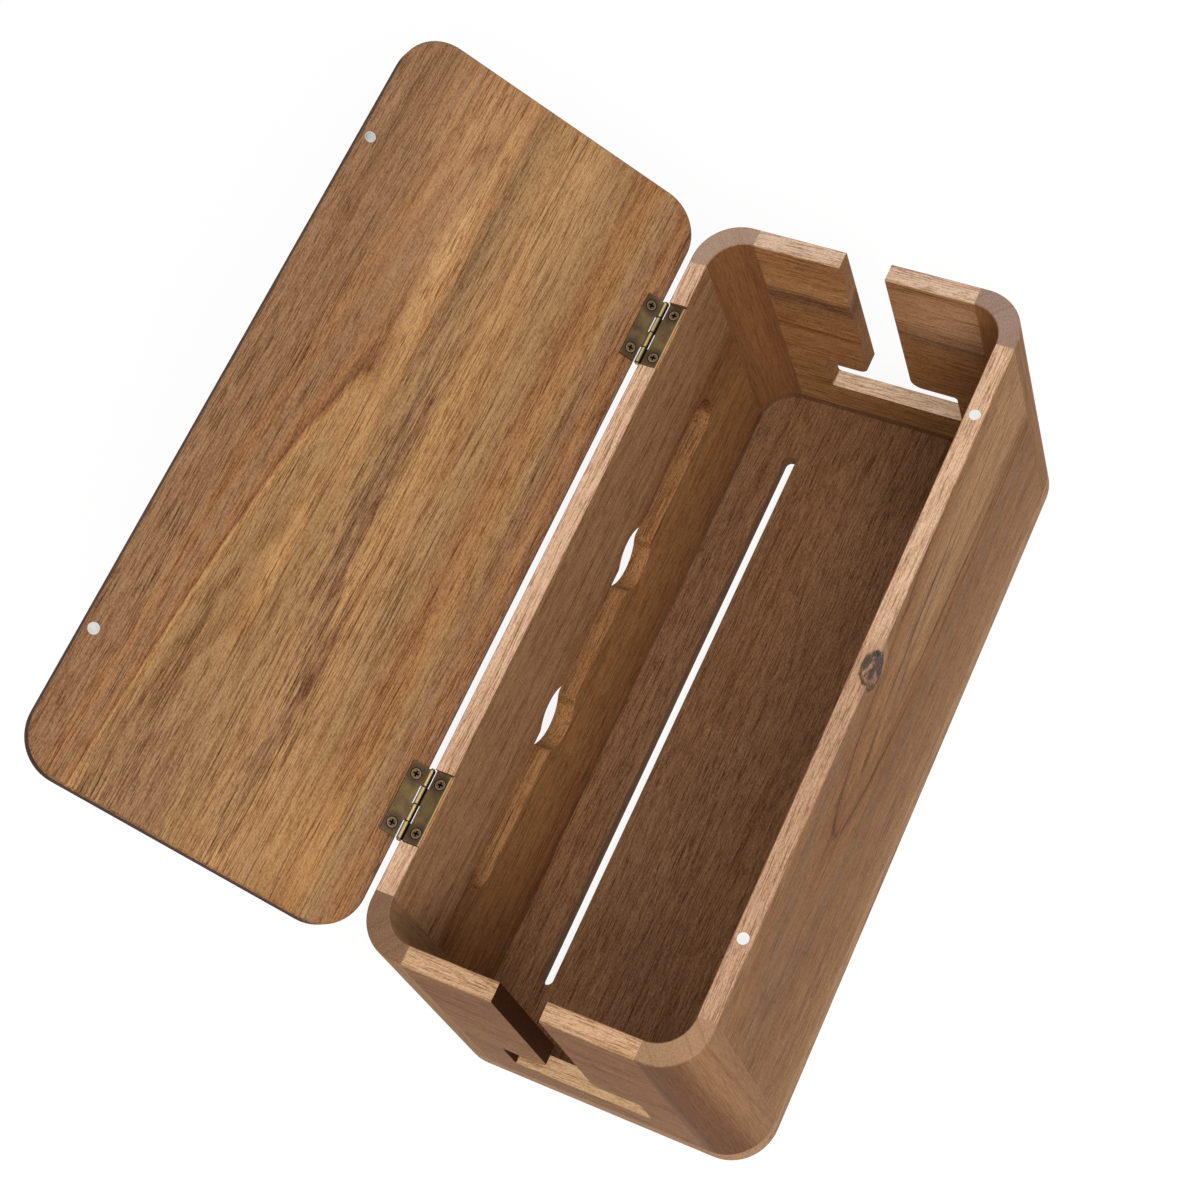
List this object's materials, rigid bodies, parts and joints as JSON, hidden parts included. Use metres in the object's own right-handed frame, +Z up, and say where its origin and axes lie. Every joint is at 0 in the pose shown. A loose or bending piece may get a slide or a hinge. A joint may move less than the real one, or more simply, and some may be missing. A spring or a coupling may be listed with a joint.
{
  "type": "cable management box",
  "caption": "Lidded wooden box that hides a power strip, with cable cut-outs in the ends and back, vented floor and a hinged magnetic lid.",
  "frame": {"origin": "middle of the underside of the base board, on the table", "axes": "+X along the box, +Y towards the hinged back, +Z up"},
  "size_m": [0.325, 0.2476, 0.2197],
  "materials": {
    "wood_board": "oiled, satin",
    "wood_post": "oiled, satin",
    "wood_base": "oiled, satin",
    "wood_lid": "oiled, satin",
    "hinge_brass": "aged, satin",
    "magnet": "nickel plated, satin"
  },
  "bodies": {
    "box": {"base_board": "wood_base", "front_board": "wood_board", "back_board": "wood_board", "end_board_left": "wood_board", "end_board_right": "wood_board", "post_front_left": "wood_post", "post_front_right": "wood_post", "post_back_left": "wood_post", "post_back_right": "wood_post", "box_magnet_left": "magnet", "box_magnet_right": "magnet", "hinge_box_leaf_left": "hinge_brass", "hinge_box_leaf_right": "hinge_brass", "hinge_pin_left": "hinge_brass", "hinge_pin_right": "hinge_brass", "hinge_box_screws_left": "hinge_brass", "hinge_box_screws_right": "hinge_brass"},
    "lid": {"lid_stave_front": "wood_lid", "lid_stave_back": "wood_lid", "lid_magnet_left": "magnet", "lid_magnet_right": "magnet", "hinge_lid_leaf_left": "hinge_brass", "hinge_lid_leaf_right": "hinge_brass", "hinge_lid_screws_left": "hinge_brass", "hinge_lid_screws_right": "hinge_brass"}
  },
  "joints": [
    {"name": "lid_hinge", "type": "hinge", "parent": "box", "child": "lid", "pos_m": [0, 0.0701, 0.12765], "axis": [-1, 0, 0], "range_deg": [-137.8, 50]}
  ]
}
